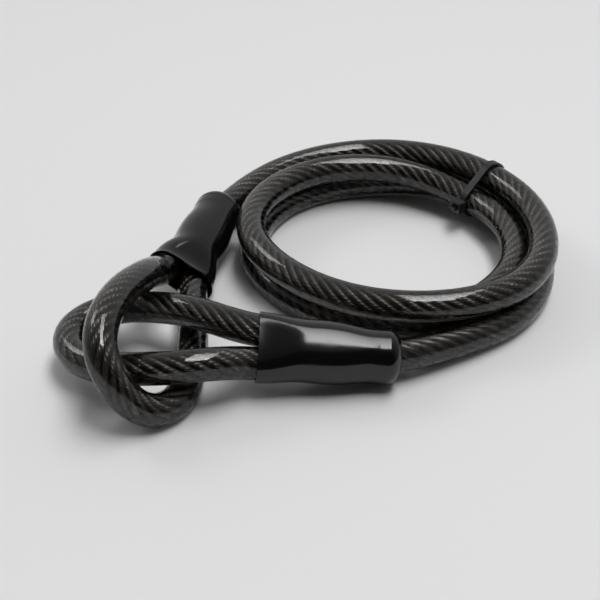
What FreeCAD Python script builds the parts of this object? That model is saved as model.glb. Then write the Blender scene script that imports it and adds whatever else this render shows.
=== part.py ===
# Looped-end security cable, coiled and tied: a wire rope in a clear vinyl jacket, with a crimped
# and sleeved loop at each end. Loop B is pushed through loop A. Millimetres, +Z up, the cable
# lies on the plane z = 0, and the origin is under the middle of the whole.
import FreeCAD, Part
import math
import os
from FreeCAD import Vector

os.makedirs("parts", exist_ok=True)

# Cable
CABLE_D = 12.0            # over the jacket
ROPE_D = 6.5              # bare wire rope, over its strands
ROPE_SIDES = 6            # its six outer strands, left plain as a six-sided bar
ROPE_CLEAR = 0.08         # jacket bore and ferrule holes, on the radius
FLAT = 0.5                # depth of the flat where the cable lies

# Sleeve: a moulded vinyl boot, wide and flat where two legs enter, round and domed at its tail
SLEEVE_L = 51.0
SLEEVE_WALL = 0.6         # at the lip
SLEEVE_CLEAR = 0.3        # round the cable and the ferrule, on the radius
LIP_L = 4.0               # length of the mouth's flare
BODY_THICK = 19.8         # over the ferrule
TAIL_D = 20.0
TAIL_DOME = 5.5           # length of the domed end
TAIL_RIM = 0.6            # flat ring round the cable's hole
TAIL_HOLD = 8.0           # how far the cable's jacket reaches into the tail
TAIL_BEND = 6.5           # how far inside the tail it begins to bend
MOUTH_HOLD = 5.0          # how far the legs' jackets reach into the mouth
LEG_RUN = 3.0             # how far the legs stay straight before the mouth

# Ferrule: an oval aluminium crimp round two ropes
FERRULE_L = 14.0
FERRULE_WALL = 2.4
CRIMP_DEPTH = 0.6
CRIMPS = 2
CRIMP_L = 3.0
ROPE_TURN = 8.5           # length in which a rope closes up to its ferrule

# Cable tie
TIE_W = 3.4
TIE_T = 0.9
TIE_CLEAR = 0.2
TIE_ANGLE = 36.5          # where it sits round the coil
TOOTH_PITCH = 1.1
TOOTH_H = 0.35
HEAD_W = 5.4              # along the cable
HEAD_L = 5.2              # along the strap
HEAD_T = 3.8              # out from the bundle
HEAD_ROUND = 0.7
HEAD_SEAT = 0.4           # how far the head's root reaches into the strap's thickness
STUB_L = 1.8              # cut tail beyond the head
WINDOW_CLEAR = 0.25

CABLE_R = CABLE_D / 2
ROPE_R = ROPE_D / 2
LAID = CABLE_R - FLAT     # centre height of a cable that lies on its flat

# The coil, from sleeve A to sleeve B: radius and centre height every eighth of a turn,
# clockwise from COIL_START degrees
COIL_CENTRE = Vector(29.6, 24.1, 0)
COIL_START = 135
COIL_STEP = -45
COIL = [
    (66.8, 15.8), (63.2, 17.9), (57.5, 20.6), (61.0, 19.5), (67.1, 18.3), (62.3, 18.2), (57.5, 18.1),
    (57.4, 18.1), (54.0, 18.1), (49.2, 16.9), (47.6, 12.6), (50.7, 12.3), (56.2, 11.4),
    (57.6, LAID), (55.6, LAID), (56.7, LAID), (57.2, LAID),
    (56.1, LAID + 0.2), (59.3, LAID + 1.8), (61.4, LAID + 0.3), (68.0, LAID + 0.1),
]

# The ends: the middle of the sleeve's mouth, its direction to the tail, the way its two legs lie
# side by side, and the step from the tail to where the cable has bent away; the gap between the
# legs, how much their spread flares the soft lip, and how wide the body stands over the ferrule.
# The loop's free points run from the leg on the side of across to the other.
END_A = dict(
    mouth=Vector(-54.7, -8.2, 12.0),
    inward=Vector(0.268, 0.961, 0.066),
    across=Vector(-0.804, 0.201, 0.559),
    bend=Vector(3.8, 5.0, -1.0),
    gap=1.2,
    flare=1.6,
    body=21.4,
)
LOOP_A = [
    (-63.9, -28.9, 27.2), (-71.9, -52.4, 34.0), (-75.4, -71.9, 34.3), (-74.7, -82.9, 29.2),
    (-70.4, -87.4, 20.2), (-64.4, -87.9, 11.0), (-56.9, -85.7, 6.2), (-50.1, -79.2, LAID),
    (-47.1, -66.4, LAID), (-47.4, -43.9, 7.1), (-48.7, -25.4, 7.9),
]
END_B = dict(
    mouth=Vector(-22.6, -61.9, 16.6),
    inward=Vector(0.991, 0.036, -0.124),
    across=Vector(0, -0.80, -0.60),
    bend=Vector(8.4, 6.6, -1.5),
    gap=0.1,
    flare=0.3,
    body=23.2,
)
LOOP_B = [
    (-37.3, -73.8, 18.2), (-57.4, -77.2, 18.2), (-78.4, -69.8, 13.1), (-89.9, -59.9, 11.8),
    (-92.9, -46.9, 11.8), (-86.9, -36.0, 11.9), (-75.4, -31.4, 13.0), (-62.4, -35.4, 15.9),
    (-46.5, -44.8, 20.4),
]

# Where things lie along a sleeve, from the mouth
FERRULE_START = MOUTH_HOLD + 1 + ROPE_TURN
FERRULE_END = FERRULE_START + FERRULE_L
FERRULE_MIDDLE = (FERRULE_START + FERRULE_END) / 2
ROPE_SIDE = ROPE_R + ROPE_CLEAR


def unit(v):
    return v / v.Length


def square_up(end):
    """Make the end's three directions square to each other."""
    end["inward"] = unit(end["inward"])
    end["across"] = unit(end["across"] - end["inward"] * end["across"].dot(end["inward"]))
    return end


def leg_side(end):
    return (CABLE_D + end["gap"]) / 2


def place(end, along, across=0.0):
    """A point in a sleeve: distance from the mouth towards the tail, and sideways."""
    return end["mouth"] + end["inward"] * along + end["across"] * across


# Paths

def arc(p0, t0, p1):
    """The arc that leaves p0 along t0 and ends at p1, as edge, radius and end direction."""
    chord = p1 - p0
    c = unit(chord)
    turn = t0.getAngle(c)
    if turn < 1e-5:
        return Part.LineSegment(p0, p1).toShape(), math.inf, c
    middle = p0 + unit(t0 + c) * (chord.Length / 2 / math.cos(turn / 2))
    t1 = unit(c * (2 * c.dot(t0)) - t0)
    return Part.Arc(p0, middle, p1).toShape(), chord.Length / 2 / math.sin(turn), t1


def biarc(p0, t0, p1, t1):
    """Two arcs that meet smoothly, from p0 along t0 to p1 along t1."""
    v = p1 - p0
    t = t0 + t1
    a = 2 * (t0.dot(t1) - 1)
    if abs(a) < 1e-9:
        d = v.dot(v) / (2 * v.dot(t))
    else:
        b = -2 * v.dot(t)
        d = (-b - math.sqrt(b * b - 4 * a * v.dot(v))) / (2 * a)
    joint = (p0 + p1 + (t0 - t1) * d) / 2
    first, r0, tj = arc(p0, t0, joint)
    second, r1, _ = arc(joint, tj, p1)
    return [first, second], [r0, r1]


def line(p0, p1):
    return Part.LineSegment(p0, p1).toShape()


def rounded(points):
    """Straight runs with a tangent arc at every inner point, each as large as its runs allow."""
    edges, radii = [], []
    here = points[0]
    for before, at, after in zip(points, points[1:], points[2:]):
        u, v = unit(at - before), unit(after - at)
        trim = 0.45 * min((at - before).Length, (after - at).Length)
        start, end = at - u * trim, at + v * trim
        edges.append(line(here, start))
        edge, radius, _ = arc(start, u, end)
        edges.append(edge)
        radii.append(radius)
        here = end
    edges.append(line(here, points[-1]))
    return edges, radii


def tube(name, edges, radius, sides=0):
    """A bar along a path, round or with flat sides; prints how its volume compares."""
    start, direction = edges[0].valueAt(0), edges[0].tangentAt(0)
    if sides:
        x = unit(direction.cross(Vector(0, 0, 1)))
        y = direction.cross(x)
        turns = [2 * math.pi * k / sides for k in range(sides + 1)]
        profile = Part.makePolygon([start + (x * math.cos(t) + y * math.sin(t)) * radius for t in turns])
        area = sides / 2 * radius ** 2 * math.sin(2 * math.pi / sides)
    else:
        profile = Part.Wire(Part.makeCircle(radius, start, direction))
        area = math.pi * radius ** 2
    bar = Part.Wire(edges).makePipeShell([profile], True, False)
    length = sum(e.Length for e in edges)
    print(f"{name}: {length:.0f} mm long, volume over section times length {bar.Volume / area / length:.4f}")
    return bar


def cable(name, jacket_edges, rope_edges):
    """Save the rope and its jacket, which is bored to the rope and flat underneath where it lies."""
    save(f"{name}_rope", tube(f"{name} rope", rope_edges, ROPE_R, ROPE_SIDES))
    outer = tube(f"{name} jacket", jacket_edges, CABLE_R)
    bore = tube(f"{name} bore", rope_edges, ROPE_R + ROPE_CLEAR, ROPE_SIDES)
    box = outer.BoundBox
    under = Part.makeBox(box.XLength + 2, box.YLength + 2, 5, Vector(box.XMin - 1, box.YMin - 1, -5))
    save(f"{name}_jacket", outer.cut(bore).cut(under))


def leaving(end, near):
    """Where the cable begins to bend in a sleeve's tail and where it has bent, in the coil's terms."""
    nodes = []
    for p in (place(end, SLEEVE_L - TAIL_BEND), place(end, SLEEVE_L) + end["bend"]):
        q = p - COIL_CENTRE
        angle = math.degrees(math.atan2(q.y, q.x))
        angle += 360 * round((near - angle) / 360)
        nodes.append((angle, math.hypot(q.x, q.y), p.z))
    return nodes


def coil_path():
    """Biarcs through the stations, straight where the cable enters each sleeve."""
    stations = [(COIL_START + COIL_STEP * i, r, h) for i, (r, h) in enumerate(COIL)]
    nodes = leaving(END_A, stations[0][0]) + stations + leaving(END_B, stations[-1][0])[::-1]
    points, ways = [], []
    for i, (angle, r, h) in enumerate(nodes):
        a = math.radians(angle)
        points.append(COIL_CENTRE + Vector(r * math.cos(a), r * math.sin(a), h))
        if 0 < i < len(nodes) - 1:
            (a0, r0, h0), (a2, r2, h2) = nodes[i - 1], nodes[i + 1]
            w0, w2 = (a2 - angle) / (a2 - a0), (angle - a0) / (a2 - a0)
            dr = math.degrees(w0 * (r - r0) / (angle - a0) + w2 * (r2 - r) / (a2 - angle))
            dh = math.degrees(w0 * (h - h0) / (angle - a0) + w2 * (h2 - h) / (a2 - angle))
            onward = Vector(dr * math.cos(a) - r * math.sin(a), dr * math.sin(a) + r * math.cos(a), dh)
            ways.append(-unit(onward))
        else:
            ways.append(END_A["inward"] if i == 0 else -END_B["inward"])
    edges = [line(place(END_A, SLEEVE_L - TAIL_HOLD), points[0])]
    radii = []
    for p0, t0, p1, t1 in zip(points, ways, points[1:], ways[1:]):
        pair, r = biarc(p0, t0, p1, t1)
        edges += pair
        radii += r
    edges.append(line(points[-1], place(END_B, SLEEVE_L - TAIL_HOLD)))
    return edges, radii


def least_gap(edges, step=2.5, apart=80.0):
    """Least clear distance between stretches of the path that lie more than apart along it."""
    samples = []
    run = 0.0
    for e in edges:
        count = max(1, round(e.Length / step))
        samples += [(run + e.Length * k / count, e.valueAt(e.getParameterByLength(e.Length * k / count)))
                    for k in range(count)]
        run += e.Length
    gap = math.inf
    for i, (s, p) in enumerate(samples):
        for t, q in samples[i + 1:]:
            if t - s > apart:
                gap = min(gap, p.distanceToPoint(q))
    return gap - CABLE_D


def loop_path(end, free):
    """The legs leave the sleeve side by side and close through the loop's free points."""
    side = leg_side(end)
    points = [place(end, MOUTH_HOLD, side), place(end, -LEG_RUN, side)]
    points += [Vector(*p) for p in free]
    points += [place(end, -LEG_RUN, -side), place(end, MOUTH_HOLD, -side)]
    return rounded(points)


def rope_run(end, *stations):
    """A rope's path through stations in a sleeve, each a distance along it and one across."""
    edges = []
    for here, there in zip(stations, stations[1:]):
        p, q = place(end, *here), place(end, *there)
        if here[1] == there[1]:
            edges.append(line(p, q))
        else:
            way = end["inward"] if there[0] > here[0] else -end["inward"]
            pair, _ = biarc(p, way, q, way)
            edges += pair
    return edges


def loop_rope(end, edges):
    """From the middle of the ferrule round the loop to the dead end at the ferrule's far face."""
    side = leg_side(end)
    live = rope_run(end, (FERRULE_MIDDLE, ROPE_SIDE), (FERRULE_START, ROPE_SIDE), (MOUTH_HOLD, side))
    dead = rope_run(end, (MOUTH_HOLD, -side), (FERRULE_START, -ROPE_SIDE), (FERRULE_END, -ROPE_SIDE))
    return live + edges + dead


def coil_rope(edges):
    """From the middle of one ferrule to the middle of the other."""
    stations = [(FERRULE_MIDDLE, ROPE_SIDE), (FERRULE_END, ROPE_SIDE), (SLEEVE_L - TAIL_HOLD, 0)]
    return rope_run(END_A, *stations) + edges + rope_run(END_B, *stations[::-1])


# Sleeve and ferrule, along +X from the mouth with the two legs side by side along Y

def oval(x, wide, thick):
    """A section of four arcs with nearly flat flanks, round when wide equals thick."""
    a, b = wide / 2, thick / 2
    phi = math.radians(85)
    c = (a - b) / (1 + math.tan(phi) - 1 / math.cos(phi))
    e, f = a - c, b + c * math.tan(phi)
    arcs = []
    for cy, cz, r, lo, hi in (
        (c, 0, e, -phi, phi),
        (0, b - f, f, phi, math.pi - phi),
        (-c, 0, e, math.pi - phi, math.pi + phi),
        (0, f - b, f, math.pi + phi, 2 * math.pi - phi),
    ):
        at = [Vector(x, cy + r * math.cos(t), cz + r * math.sin(t)) for t in (lo, (lo + hi) / 2, hi)]
        arcs.append(Part.Arc(*at).toShape())
    return Part.Wire(arcs)


def slot(x, half, r):
    """A round-ended slot, from a half circle at each side."""
    top, bottom = [[Vector(x, y, z) for y in (half, -half)] for z in (r, -r)]
    return Part.Wire([
        Part.Arc(bottom[0], Vector(x, half + r, 0), top[0]).toShape(), line(*top),
        Part.Arc(top[1], Vector(x, -half - r, 0), bottom[1]).toShape(), line(*bottom[::-1]),
    ])


def sleeve(end, way_out):
    """A lofted boot with a turned dome at its tail, hollow for the legs, the ferrule and the cable."""
    flare, body_wide = end["flare"], end["body"]
    legs = 2 * CABLE_D + end["gap"] + 2 * SLEEVE_CLEAR
    hole = CABLE_D + 2 * SLEEVE_CLEAR
    wide, thick = legs + 2 * SLEEVE_WALL, hole + 2 * SLEEVE_WALL
    dome = SLEEVE_L - TAIL_DOME
    root = dome - TAIL_DOME / 2
    # How far from the mouth, how wide across the legs, and how thick
    outside = [
        (0, wide + flare, thick + flare),
        (MOUTH_HOLD / 2, wide + flare / 3, thick + 0.8),
        (MOUTH_HOLD + 2, wide - 0.8, thick + 2.2),
        (FERRULE_START, body_wide, BODY_THICK - 1.0),
        (FERRULE_END - 3, body_wide, BODY_THICK),
        (FERRULE_END + 5, (body_wide + TAIL_D) / 2, TAIL_D),
        (root, TAIL_D, TAIL_D),
    ]
    body = Part.makeLoft([oval(*s) for s in outside], True, False)
    # The dome's outline: an arc from the body's side down to the flat ring round the cable
    r, rim = TAIL_D / 2, hole / 2 + TAIL_RIM
    half = math.sqrt(0.5)
    start, side = Vector(root, r, 0), Vector(dome, r, 0)
    bend = Vector(dome + TAIL_DOME * half, rim + (r - rim) * half, 0)
    ring, centre = Vector(SLEEVE_L, rim, 0), Vector(SLEEVE_L, 0, 0)
    cap = Part.Wire([
        line(Vector(root, 0, 0), start), line(start, side), Part.Arc(side, bend, ring).toShape(),
        line(ring, centre), line(centre, Vector(root, 0, 0)),
    ])
    tail = Part.Face(cap).revolve(Vector(0, 0, 0), Vector(1, 0, 0), 360)
    crimp_wide, crimp_thick = [s + 2 * SLEEVE_CLEAR for s in ferrule_size()]
    past = 1.0
    spread = flare * (1 + past / LIP_L)
    step, lap = 0.5, 0.1
    inside = [
        (-past, legs + spread, hole + spread), (LIP_L, legs, hole), (MOUTH_HOLD + step, legs, hole),
        (FERRULE_START - step, crimp_wide, crimp_thick), (FERRULE_END + step, crimp_wide, crimp_thick),
        (SLEEVE_L - TAIL_HOLD - step, hole + lap, hole + lap),
        (SLEEVE_L - TAIL_HOLD + past, hole + lap, hole + lap),
    ]
    cavity = Part.makeLoft([oval(*s) for s in inside], True, True)
    boot = at_end(body.fuse(tail).cut(cavity), end)
    return boot.cut(tube("way out of the sleeve", way_out, CABLE_R + SLEEVE_CLEAR))


def ferrule_size():
    return 2 * (2 * ROPE_SIDE + FERRULE_WALL), 2 * (ROPE_SIDE + FERRULE_WALL)


def ferrule():
    """An oval slug with crimped waists and one long hole that takes both ropes side by side."""
    wide, thick = ferrule_size()
    land = (FERRULE_L - CRIMPS * CRIMP_L) / (CRIMPS + 1)
    slug = None
    x = FERRULE_START
    for i in range(2 * CRIMPS + 1):
        length, less = (CRIMP_L, 2 * CRIMP_DEPTH) if i % 2 else (land, 0)
        ring = Part.Face(oval(x, wide - less, thick - less)).extrude(Vector(length, 0, 0))
        slug = slug.fuse(ring) if slug else ring
        x += length
    hole = Part.Face(slot(FERRULE_START - 1, ROPE_SIDE, ROPE_R + ROPE_CLEAR))
    return slug.cut(hole.extrude(Vector(FERRULE_L + 2, 0, 0)))


def at_end(shape, end):
    """Carry a shape from its own axes to the end's place."""
    x, y = end["inward"], end["across"]
    z, o = x.cross(y), end["mouth"]
    shape = shape.copy()
    shape.Placement = FreeCAD.Placement(FreeCAD.Matrix(
        x.x, y.x, z.x, o.x, x.y, y.y, z.y, o.y, x.z, y.z, z.z, o.z, 0, 0, 0, 1))
    return shape


# Cable tie, in the plane across the bundle: X outwards from the coil's centre, Y up, Z along the cable

def bundle(edges):
    """Where the path crosses the tie's plane, on the tie's side of the coil."""
    a = math.radians(TIE_ANGLE)
    out, along = Vector(math.cos(a), math.sin(a), 0), Vector(-math.sin(a), math.cos(a), 0)
    found = []
    for e in edges:
        p, q = e.valueAt(e.FirstParameter), e.valueAt(e.LastParameter)
        lo, hi = [(v - COIL_CENTRE).dot(along) for v in (p, q)]
        if lo * hi > 0 or (p - COIL_CENTRE).dot(out) < 0:
            continue
        near, far = e.FirstParameter, e.LastParameter
        for _ in range(40):
            half = (near + far) / 2
            if ((e.valueAt(half) - COIL_CENTRE).dot(along) > 0) == (lo > 0):
                near = half
            else:
                far = half
        c = e.valueAt(near) - COIL_CENTRE
        found.append(Vector(c.dot(out), c.z, 0))
    return found, out, along


def hull(centres, radius):
    """The outline that a string pulled tight round three circles takes, anticlockwise."""
    c = list(centres)
    if (c[1] - c[0]).cross(c[2] - c[0]).z < 0:
        c.reverse()
    sides = []
    for p, q in zip(c, c[1:] + c[:1]):
        n = unit(Vector(q.y - p.y, p.x - q.x, 0))
        sides.append((p + n * radius, q + n * radius, n))
    edges = []
    for i, (p, q, n) in enumerate(sides):
        edges.append(line(p, q))
        after = sides[(i + 1) % len(sides)]
        corner = c[(i + 1) % len(c)]
        edges.append(Part.Arc(q, corner + unit(n + after[2]) * radius, after[0]).toShape())
    return Part.Wire(edges)


def slab(outline, width):
    return Part.Face(outline).extrude(Vector(0, 0, width)).translated(Vector(0, 0, -width / 2))


def cable_tie(edges):
    """Strap round three passes of cable, head on the hole side, pawl, and the cut toothed tail."""
    centres, out, along = bundle(edges)
    inner = CABLE_R + TIE_CLEAR
    strap = slab(hull(centres, inner + TIE_T), TIE_W).cut(slab(hull(centres, inner), TIE_W + 2))
    near = min(centres, key=lambda c: c.x)
    foot = Vector(near.x - inner - TIE_T / 2, near.y, 0)
    head = Part.makeBox(HEAD_T, HEAD_L, HEAD_W, foot - Vector(HEAD_T, HEAD_L / 2, HEAD_W / 2))
    head = head.makeFillet(HEAD_ROUND, [e for e in head.Edges if abs(e.tangentAt(0).x) > 0.9])
    gap = TIE_T + TOOTH_H + 2 * WINDOW_CLEAR
    wall = (HEAD_L - gap) / 2
    window = Part.makeBox(HEAD_T + 2, gap, TIE_W + 2 * WINDOW_CLEAR,
                          Vector(foot.x - HEAD_T - 1, foot.y - gap / 2, -TIE_W / 2 - WINDOW_CLEAR))
    seat = foot - Vector(HEAD_SEAT, HEAD_L / 2, HEAD_W / 2)
    window = window.cut(Part.makeBox(HEAD_T, HEAD_L, HEAD_W, seat))
    # The tail goes straight out through the window, teeth to the pawl's side
    low = foot.y - gap / 2 + WINDOW_CLEAR
    start, stop = foot.x, foot.x - HEAD_T - STUB_L
    outline = [Vector(start, low, 0), Vector(stop, low, 0), Vector(stop, low + TIE_T, 0)]
    teeth = int((start - stop) / TOOTH_PITCH)
    for i in range(teeth):
        x = stop + i * TOOTH_PITCH
        outline += [Vector(x, low + TIE_T + TOOTH_H, 0), Vector(x + TOOTH_PITCH, low + TIE_T, 0)]
    outline += [Vector(start, low + TIE_T, 0), Vector(start, low, 0)]
    tail = slab(Part.makePolygon(outline), TIE_W)
    # The pawl leans out of the head's wall into the teeth
    side = foot.y + gap / 2
    root = side + wall / 3
    back = foot.x - 2 * HEAD_SEAT
    pawl = slab(Part.makePolygon([
        Vector(back, root, 0), Vector(back, side, 0),
        Vector(back - 2 * TOOTH_PITCH, side - WINDOW_CLEAR - TOOTH_H, 0),
        Vector(back - 3 * TOOTH_PITCH, root, 0), Vector(back, root, 0),
    ]), TIE_W - 2 * WINDOW_CLEAR)
    tie = strap.fuse([head.cut(window), tail, pawl]).removeSplitter()
    tie.Placement = FreeCAD.Placement(FreeCAD.Matrix(
        out.x, 0, -along.x, COIL_CENTRE.x, out.y, 0, -along.y, COIL_CENTRE.y, 0, 1, 0, 0, 0, 0, 0, 1))
    return tie


def save(name, shape):
    shape.exportStep(f"parts/{name}.step")
    print(f"{name}: {len(shape.Solids)} solid, valid {shape.isValid()}, volume {shape.Volume:.0f}")


def main():
    square_up(END_A)
    square_up(END_B)
    coil, radii = coil_path()
    print("coil radii", " ".join(f"{r:.0f}" for r in radii))
    print(f"coil least gap to itself {least_gap(coil):.2f}")
    cable("coil", coil, coil_rope(coil))
    for name, end, free, way_out in (("a", END_A, LOOP_A, coil[:3]), ("b", END_B, LOOP_B, coil[-3:])):
        loop, radii = loop_path(end, free)
        print(f"eye {name} radii", " ".join(f"{r:.1f}" for r in radii))
        cable(f"eye_{name}", loop, loop_rope(end, loop))
        save(f"ferrule_{name}", at_end(ferrule(), end))
        save(f"sleeve_{name}", sleeve(end, way_out))
    save("cable_tie", cable_tie(coil))


main()
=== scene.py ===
"""Looped-end security cable, coiled and held by a cable tie, on a pale studio floor."""
import math

import bpy
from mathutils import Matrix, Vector


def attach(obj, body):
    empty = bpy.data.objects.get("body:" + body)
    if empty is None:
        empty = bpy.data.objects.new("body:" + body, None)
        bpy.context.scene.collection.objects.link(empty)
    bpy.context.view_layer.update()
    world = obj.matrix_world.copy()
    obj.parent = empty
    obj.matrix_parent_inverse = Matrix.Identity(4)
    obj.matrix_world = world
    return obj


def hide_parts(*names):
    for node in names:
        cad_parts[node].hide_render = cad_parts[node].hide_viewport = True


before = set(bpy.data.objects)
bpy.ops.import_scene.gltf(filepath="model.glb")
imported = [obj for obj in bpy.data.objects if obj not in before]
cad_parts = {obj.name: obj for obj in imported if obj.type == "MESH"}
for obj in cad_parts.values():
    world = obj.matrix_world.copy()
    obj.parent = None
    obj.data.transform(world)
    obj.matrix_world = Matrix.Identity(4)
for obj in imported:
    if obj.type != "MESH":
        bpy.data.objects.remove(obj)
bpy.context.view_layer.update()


# CAMERA
# A short telephoto in front of the object, looking down on it at 34 degrees.

LENS = 72
SENSOR = 36
CAMERA_AT = (-0.0074, -0.4069, 0.2695)
LOOKS_DOWN = 34

camera = bpy.data.objects.new("camera", bpy.data.cameras.new("camera"))
camera.data.lens = LENS
camera.data.sensor_width = SENSOR
camera.location = CAMERA_AT
camera.rotation_euler = (math.radians(90 - LOOKS_DOWN), 0, 0)
bpy.context.collection.objects.link(camera)
bpy.context.scene.camera = camera


# THE JACKET
# Soft vinyl extruded over the wire rope, clear but smoked grey, with the faint waves of an
# extruded skin. Most of the light that crosses it is lost.

CABLE_D = 0.012
FLAT = 0.0005
LAID = CABLE_D / 2 - FLAT


def new_material(name):
    material = bpy.data.materials.new(name)
    material.use_nodes = True
    return material, material.node_tree.nodes, material.node_tree.links


def moulded_skin():
    """A group: the uneven gloss and shallow relief of moulded or extruded plastic."""
    group = bpy.data.node_groups.new("moulded skin", "ShaderNodeTree")
    for name, value in (
        ("Swell Scale", 60), ("Grain Scale", 900), ("Grain", 0.2),
        ("Depth", 0.0001), ("Roughness", 0.2), ("Unevenness", 0.1),
    ):
        socket = group.interface.new_socket(name, in_out="INPUT", socket_type="NodeSocketFloat")
        socket.default_value = value
    group.interface.new_socket("Roughness", in_out="OUTPUT", socket_type="NodeSocketFloat")
    group.interface.new_socket("Normal", in_out="OUTPUT", socket_type="NodeSocketVector")
    nodes, links = group.nodes, group.links
    given = nodes.new("NodeGroupInput")
    result = nodes.new("NodeGroupOutput")
    where = nodes.new("ShaderNodeTexCoord")

    def noise(scale):
        texture = nodes.new("ShaderNodeTexNoise")
        texture.inputs["Detail"].default_value = 2
        links.new(where.outputs["Object"], texture.inputs["Vector"])
        links.new(given.outputs[scale], texture.inputs["Scale"])
        return texture.outputs["Fac"]

    def multiply_add(value, times, plus):
        node = nodes.new("ShaderNodeMath")
        node.operation = "MULTIPLY_ADD"
        for socket, source in zip(node.inputs, (value, times, plus)):
            links.new(source, socket)
        return node.outputs["Value"]

    swell, grain = noise("Swell Scale"), noise("Grain Scale")
    relief = multiply_add(grain, given.outputs["Grain"], swell)
    gloss = multiply_add(swell, given.outputs["Unevenness"], given.outputs["Roughness"])
    bump = nodes.new("ShaderNodeBump")
    bump.inputs["Strength"].default_value = 1
    links.new(given.outputs["Depth"], bump.inputs["Distance"])
    links.new(relief, bump.inputs["Height"])
    links.new(gloss, result.inputs["Roughness"])
    links.new(bump.outputs["Normal"], result.inputs["Normal"])
    return group


MOULDED = moulded_skin()


def skinned(nodes, links, **values):
    """Give the material's shader a moulded skin with these values."""
    skin = nodes.new("ShaderNodeGroup")
    skin.node_tree = MOULDED
    for name, value in values.items():
        skin.inputs[name.replace("_", " ")].default_value = value
    shader = nodes["Principled BSDF"]
    links.new(skin.outputs["Roughness"], shader.inputs["Roughness"])
    links.new(skin.outputs["Normal"], shader.inputs["Normal"])
    return shader


vinyl, nodes, links = new_material("smoked clear vinyl")
shell = skinned(nodes, links, Swell_Scale=140, Grain_Scale=700, Grain=0.1, Depth=0.00005,
                Roughness=0.02, Unevenness=0.05)
shell.inputs["Base Color"].default_value = (0.9, 0.89, 0.88, 1)
shell.inputs["IOR"].default_value = 1.53
shell.inputs["Transmission Weight"].default_value = 1
smoke = nodes.new("ShaderNodeVolumeAbsorption")
smoke.inputs["Color"].default_value = (0.30, 0.285, 0.275, 1)
smoke.inputs["Density"].default_value = 480
links.new(smoke.outputs["Volume"], nodes["Material Output"].inputs["Volume"])

# Shadow rays pass straight through the skin, so that the lamps light the rope inside
open_to_lamps = nodes.new("ShaderNodeBsdfTransparent")
open_to_lamps.inputs["Color"].default_value = (0.9, 0.9, 0.9, 1)
rays = nodes.new("ShaderNodeLightPath")
choice = nodes.new("ShaderNodeMixShader")
links.new(rays.outputs["Is Shadow Ray"], choice.inputs["Fac"])
links.new(shell.outputs["BSDF"], choice.inputs[1])
links.new(open_to_lamps.outputs["BSDF"], choice.inputs[2])
links.new(choice.outputs["Shader"], nodes["Material Output"].inputs["Surface"])

SPAN_STEPS = 12
ROUND_STEPS = 12


def nurbs(name, points, radius=0.0):
    """A smooth line with these points as its control points, thick if it has a radius."""
    data = bpy.data.curves.new(name, "CURVE")
    data.dimensions = "3D"
    data.resolution_u = SPAN_STEPS
    data.bevel_depth = radius
    data.bevel_resolution = ROUND_STEPS
    data.use_fill_caps = True
    spline = data.splines.new("NURBS")
    spline.points.add(len(points) - 1)
    for knot, point in zip(spline.points, points):
        knot.co = (*point, 1)
    spline.order_u = 3
    spline.use_endpoint_u = True
    return data


def as_mesh(data):
    holder = bpy.data.objects.new(data.name, data)
    bpy.context.collection.objects.link(holder)
    mesh = bpy.data.meshes.new_from_object(holder.evaluated_get(bpy.context.evaluated_depsgraph_get()))
    bpy.data.objects.remove(holder)
    return mesh


def as_piece(name, data, material):
    """The curve as a smooth mesh in this material."""
    mesh = as_mesh(data)
    mesh.name = name
    mesh.shade_smooth()
    mesh.materials.append(material)
    piece = bpy.data.objects.new(name, mesh)
    bpy.context.collection.objects.link(piece)
    return piece


def middle_line(name, points):
    return [v.co.copy() for v in as_mesh(nurbs(name + "_line", points)).vertices]


def jacket(name, points):
    """A round tube along the line, pressed flat where it lies on the floor, and its own line."""
    piece = as_piece(name, nurbs(name, points, CABLE_D / 2), vinyl)
    for v in piece.data.vertices:
        v.co.z = max(v.co.z, 0.0)
    return piece, middle_line(name, points)


# THE WIRE ROPE
# Six strands of eight bright wires each, laid round the rope's core, which is left out here. The wires
# turn the other way round in their strand than the strands do in the rope, so that they run nearly along
# it.

ROPE_D = 0.0065
STRANDS = 6
STRAND_D = ROPE_D / 3
LAY = 0.0314
WIRES = 8
WIRE_LAY = 0.013
WIRE_DEPTH = 0.3
WIRE_POINTS = 3

steel, nodes, links = new_material("bright steel wires")
wire = nodes["Principled BSDF"]
wire.inputs["Metallic"].default_value = 1
where = nodes.new("ShaderNodeTexCoord")
oil = nodes.new("ShaderNodeTexNoise")
oil.inputs["Scale"].default_value = 260
oil.inputs["Detail"].default_value = 3
tone = nodes.new("ShaderNodeValToRGB")
for element, position, colour in zip(
    tone.color_ramp.elements, (0.35, 0.65), ((0.34, 0.33, 0.315, 1), (0.70, 0.685, 0.65, 1)),
):
    element.position = position
    element.color = colour
polish = nodes.new("ShaderNodeMapRange")
polish.inputs["To Min"].default_value = 0.40
polish.inputs["To Max"].default_value = 0.24
links.new(where.outputs["Object"], oil.inputs["Vector"])
links.new(oil.outputs["Fac"], tone.inputs["Fac"])
links.new(oil.outputs["Fac"], polish.inputs["Value"])
links.new(tone.outputs["Color"], wire.inputs["Base Color"])
links.new(polish.outputs["Result"], wire.inputs["Roughness"])


def strand_section():
    """The outline of a strand: a ring of wires, each two points on its crown and one in its groove."""
    data = bpy.data.curves.new("strand_section", "CURVE")
    data.dimensions = "2D"
    spline = data.splines.new("POLY")
    spline.points.add(WIRE_POINTS * WIRES - 1)
    for i, knot in enumerate(spline.points):
        turn = 2 * math.pi * i / (WIRE_POINTS * WIRES)
        reach = STRAND_D / 2 * (1 if i % WIRE_POINTS else 1 - WIRE_DEPTH)
        knot.co = (reach * math.cos(turn), reach * math.sin(turn), 0, 1)
    spline.use_cyclic_u = True
    section = bpy.data.objects.new("strand_section", data)
    bpy.context.collection.objects.link(section)
    return section


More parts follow.
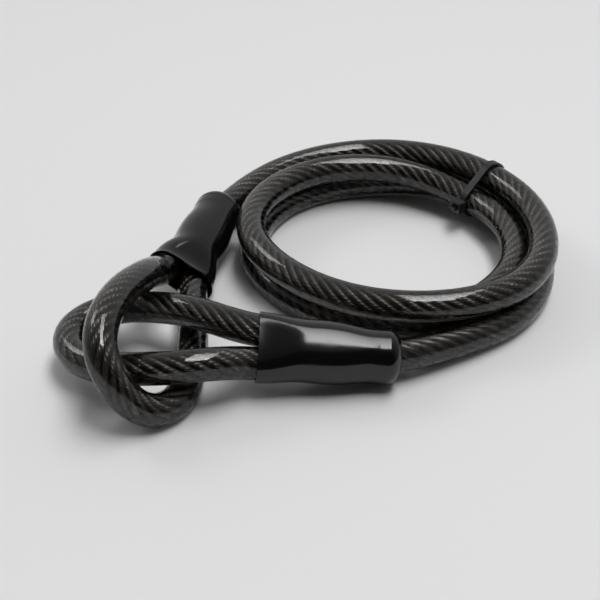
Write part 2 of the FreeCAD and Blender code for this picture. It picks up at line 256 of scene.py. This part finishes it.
def strands(name, points, which):
    """Some of the strands, each swept along its own helix, one strand's width off the line."""
    line = middle_line(name, points)
    ways = [(b - a).normalized() for a, b in zip(line, line[1:])]
    ways = [ways[0]] + [(a + b).normalized() for a, b in zip(ways, ways[1:])] + [ways[-1]]
    side = ways[0].orthogonal().normalized()
    run = 0.0
    paths = [[] for _ in which]
    for i, (point, way) in enumerate(zip(line, ways)):
        if i:
            run += (point - line[i - 1]).length
            side = ways[i - 1].rotation_difference(way) @ side
        up = way.cross(side)
        for k, path in zip(which, paths):
            turn = 2 * math.pi * (k / STRANDS + run / LAY)
            reach = (side * math.cos(turn) + up * math.sin(turn)) * STRAND_D
            path.append((point + reach, -2 * math.pi * run / WIRE_LAY))
    section = strand_section()
    data = bpy.data.curves.new(name, "CURVE")
    data.dimensions = "3D"
    data.bevel_mode = "OBJECT"
    data.bevel_object = section
    data.use_fill_caps = True
    for path in paths:
        spline = data.splines.new("POLY")
        spline.points.add(len(path) - 1)
        for knot, (point, tilt) in zip(spline.points, path):
            knot.co = (*point, 1)
            knot.tilt = tilt
    piece = as_piece(name, data, steel)
    bpy.data.objects.remove(section)
    return piece


def add_cable(name, jacket_points, rope_points):
    """The jacket and its strands, in place of the two plain solids of this cable."""
    tube, line = jacket(name + "_cable", jacket_points)
    halves = [strands(name + "_strands_" + tag, rope_points, which)
              for tag, which in (("a", (0, 2, 4)), ("b", (1, 3, 5)))]
    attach(tube, "root")
    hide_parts(name + "_jacket")
    for half in halves:
        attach(half, "root")
        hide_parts(name + "_rope")


# THE COIL
# One cable wound by hand into two and three quarter turns, from sleeve A at the back left down
# to sleeve B at the front. It leaves each sleeve straight and bends inside the soft tail.

# Along a sleeve from its mouth: where the ferrule starts, has its middle and ends, where the
# cable's jacket starts in the tail and where it begins to bend, and the tail's end
FERRULE_START, FERRULE_MIDDLE, FERRULE_END = 0.0145, 0.0215, 0.0285
TAIL_HOLD, TAIL_BEND, SLEEVE_L = 0.043, 0.0445, 0.051
# Sideways from a ferrule's middle to each of its two ropes
ROPE_SIDE = 0.00333


def sleeve_lie(mouth, inward, across):
    """The middle of a sleeve's mouth, its way to the tail, and the way its two legs lie side by side."""
    inward = Vector(inward).normalized()
    across = Vector(across)
    across = (across - inward * across.dot(inward)).normalized()
    return Vector(mouth), inward, across


def place(lie, along, sideways=0.0):
    """A point in a sleeve, by its distance from the mouth and sideways."""
    mouth, inward, across = lie
    return mouth + inward * along + across * sideways


SLEEVE_A = sleeve_lie((-0.0547, -0.0082, 0.0120), (0.268, 0.961, 0.066), (-0.804, 0.201, 0.559))
SLEEVE_B = sleeve_lie((-0.0226, -0.0619, 0.0166), (0.991, 0.036, -0.124), (0, -0.80, -0.60))

# Radius and height of the cable's middle every eighth of a turn, clockwise from COIL_START degrees,
# with one more station at each end that only steers
CENTRE = Vector((0.0296, 0.0241, 0))
COIL_START = 135
COIL_STEP = 45
COIL = [
    (0.0722, 0.0130),
    (0.0668, 0.0158), (0.0632, 0.0179), (0.0575, 0.0206), (0.0610, 0.0195), (0.0671, 0.0183),
    (0.0623, 0.0182), (0.0575, 0.0181), (0.0574, 0.0181), (0.0540, 0.0181), (0.0492, 0.0169),
    (0.0476, 0.0126), (0.0507, 0.0123), (0.0562, 0.0114), (0.0576, LAID), (0.0556, LAID),
    (0.0567, LAID), (0.0572, LAID), (0.0561, LAID + 0.0002), (0.0593, LAID + 0.0018),
    (0.0614, LAID + 0.0003), (0.0680, LAID + 0.0001),
    (0.0766, 0.0082),
]
# Points from one station to the next, and how much further out they stand, because the smooth
# line cuts inside them
STEPS = 3
OUTSET = 1.0086


def eased(before, here, there, after, t):
    """Between two stations, on the smooth curve that also heeds their neighbours."""
    return here + 0.5 * t * (there - before + t * (2 * before - 5 * here + 4 * there - after
                                                   + t * (3 * (here - there) + after - before)))


turns = []
spans = len(COIL) - 3
for i in range(spans * STEPS + 1):
    j = min(i // STEPS, spans - 1)
    t = i / STEPS - j
    radius, height = (eased(*values, t) for values in zip(*COIL[j:j + 4]))
    radius *= OUTSET
    angle = math.radians(COIL_START - COIL_STEP * (j + t))
    turns.append(CENTRE + Vector((radius * math.cos(angle), radius * math.sin(angle), height)))

from_a = [place(SLEEVE_A, TAIL_HOLD), place(SLEEVE_A, TAIL_BEND),
          Vector((-0.0385, 0.0440, 0.0144)), Vector((-0.0301, 0.0586, 0.0147))]
to_b = [Vector((0.0651, -0.0374, 0.0063)), Vector((0.0345, -0.0555, 0.0089)),
        place(SLEEVE_B, TAIL_BEND), place(SLEEVE_B, TAIL_HOLD)]
route = from_a + turns + to_b
in_a, in_b = [[place(lie, FERRULE_MIDDLE, ROPE_SIDE), place(lie, FERRULE_END, ROPE_SIDE)]
              for lie in (SLEEVE_A, SLEEVE_B)]
add_cable("coil", route, in_a + route + in_b[::-1])


# THE LOOPS
# Each end of the cable is bent back into an eye about 80 mm long, and loop B is pushed through
# loop A. The two legs of an eye lie side by side in the sleeve's mouth.

MOUTH_HOLD = 0.005
LEG_RUN = 0.003
LOOP_A_LENGTH, LOOP_B_LENGTH = 0.20, 0.18
# Sideways from the middle of the sleeve's mouth to each leg
LEG_SIDE_A, LEG_SIDE_B = 0.0066, 0.00605
EYE_A = [
    (-0.0639, -0.0289, 0.0272), (-0.0719, -0.0524, 0.0340), (-0.0754, -0.0719, 0.0343),
    (-0.0747, -0.0829, 0.0292), (-0.0704, -0.0874, 0.0202), (-0.0644, -0.0879, 0.0110),
    (-0.0569, -0.0857, 0.0062), (-0.0501, -0.0792, LAID), (-0.0471, -0.0664, LAID),
    (-0.0474, -0.0439, 0.0071), (-0.0487, -0.0254, 0.0079),
]
EYE_B = [
    (-0.0373, -0.0738, 0.0182), (-0.0574, -0.0772, 0.0182), (-0.0784, -0.0698, 0.0131),
    (-0.0899, -0.0599, 0.0118), (-0.0929, -0.0469, 0.0118), (-0.0869, -0.0360, 0.0119),
    (-0.0754, -0.0314, 0.0130), (-0.0624, -0.0354, 0.0159), (-0.0465, -0.0448, 0.0204),
]
for name, lie, eye, leg, loop_length in (
    ("eye_a", SLEEVE_A, EYE_A, LEG_SIDE_A, LOOP_A_LENGTH),
    ("eye_b", SLEEVE_B, EYE_B, LEG_SIDE_B, LOOP_B_LENGTH),
):
    first, last = [[place(lie, along, side) for along in (MOUTH_HOLD, -LEG_RUN)] for side in (leg, -leg)]
    bight = first + [Vector(point) for point in eye] + last[::-1]
    live = [place(lie, along, ROPE_SIDE) for along in (FERRULE_MIDDLE, FERRULE_START)]
    dead = [place(lie, along, -ROPE_SIDE) for along in (FERRULE_START, FERRULE_END)]
    add_cable(name, bight, live + bight + dead)


# THE FERRULES
# Oval aluminium slugs pressed round two ropes, dull and scuffed by the press. The sleeves hide them.

alloy, nodes, links = new_material("pressed aluminium")
slug = skinned(nodes, links, Swell_Scale=400, Grain_Scale=2500, Grain=0.4, Depth=0.00005,
               Roughness=0.3, Unevenness=0.25)
slug.inputs["Metallic"].default_value = 1
slug.inputs["Base Color"].default_value = (0.62, 0.62, 0.63, 1)


def made_of(material, *node_names):
    for name in node_names:
        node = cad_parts[name]
        node.data.materials.clear()
        node.data.materials.append(material)


made_of(alloy, "ferrule_a", "ferrule_b")


# THE SLEEVES
# Boots of soft black vinyl, dipped and glossy, pushed over the ferrules.

black, nodes, links = new_material("black dipped vinyl")
boot = skinned(nodes, links, Swell_Scale=90, Grain_Scale=1500, Grain=0.04, Depth=0.00002,
               Roughness=0.08, Unevenness=0.12)
boot.inputs["Base Color"].default_value = (0.003, 0.003, 0.0033, 1)
boot.inputs["IOR"].default_value = 1.53
made_of(black, "sleeve_a", "sleeve_b")


# THE CABLE TIE
# Black nylon, moulded in one with its head, and pulled tight round the coil. It is duller than the
# sleeves, with a fine grain.

nylon, nodes, links = new_material("black nylon")
tie = skinned(nodes, links, Swell_Scale=500, Grain_Scale=4000, Grain=0.5, Depth=0.00003,
              Roughness=0.34, Unevenness=0.16)
tie.inputs["Base Color"].default_value = (0.010, 0.010, 0.010, 1)
made_of(nylon, "cable_tie")


# FLOOR, LAMPS AND WORLD
# White paper under one long softbox that hangs over the object, with a smaller one behind it at the
# left. The walls, pale behind the object and dark behind the camera, fill in the shadows.

FLOOR = 8
SOFTBOX = 1.8

bpy.ops.mesh.primitive_plane_add(size=FLOOR)
floor = bpy.context.object
floor.name = "floor"
paper, nodes, links = new_material("white paper")
sheet = skinned(nodes, links, Swell_Scale=30, Grain_Scale=1200, Grain=1.0, Depth=0.00002,
                Roughness=0.8, Unevenness=0.1)
sheet.inputs["Base Color"].default_value = (0.87, 0.87, 0.87, 1)
sheet.inputs["Specular IOR Level"].default_value = 0.2
floor.data.materials.append(paper)

# Each softbox hangs SOFTBOX metres off, the way that (x, y, z) points
for name, (x, y, z), wide, deep, glow in (
    ("overhead softbox", (0.21, 0.07, 0.98), 0.6, 1.6, 6.6),
    ("back left softbox", (-0.62, 0.48, 0.62), 0.5, 0.7, 3.0),
):
    lamp = bpy.data.objects.new(name, bpy.data.lights.new(name, "AREA"))
    lamp.data.shape = "RECTANGLE"
    lamp.data.size, lamp.data.size_y = wide, deep
    lamp.data.energy = glow * math.pi * wide * deep
    lamp.location = (SOFTBOX * x, SOFTBOX * y, SOFTBOX * z)
    lamp.rotation_euler = (-math.asin(y), math.atan2(x, z), 0)
    bpy.context.collection.objects.link(lamp)
    # Its cloth is brightest along the edge towards the camera
    lamp.data.use_nodes = True
    nodes, links = lamp.data.node_tree.nodes, lamp.data.node_tree.links
    cloth = nodes.new("ShaderNodeNewGeometry")
    across = nodes.new("ShaderNodeSeparateXYZ")
    fade = nodes.new("ShaderNodeMapRange")
    fade.inputs["To Min"].default_value = 1.6
    fade.inputs["To Max"].default_value = 0.4
    links.new(cloth.outputs["Parametric"], across.inputs["Vector"])
    links.new(across.outputs["Y"], fade.inputs["Value"])
    links.new(fade.outputs["Result"], nodes["Emission"].inputs["Strength"])

world = bpy.data.worlds.new("studio")
bpy.context.scene.world = world
world.use_nodes = True
nodes, links = world.node_tree.nodes, world.node_tree.links
where = nodes.new("ShaderNodeTexCoord")
parts = nodes.new("ShaderNodeSeparateXYZ")
walls = nodes.new("ShaderNodeMapRange")
walls.inputs["From Min"].default_value = -0.6
walls.inputs["From Max"].default_value = 0.9
walls.inputs["To Min"].default_value = 0.02
walls.inputs["To Max"].default_value = 0.6
links.new(where.outputs["Generated"], parts.inputs["Vector"])
links.new(parts.outputs["Y"], walls.inputs["Value"])
links.new(walls.outputs["Result"], nodes["Background"].inputs["Strength"])
nodes["Background"].inputs["Color"].default_value = (1, 1, 1, 1)

bpy.context.scene.view_settings.view_transform = "Standard"
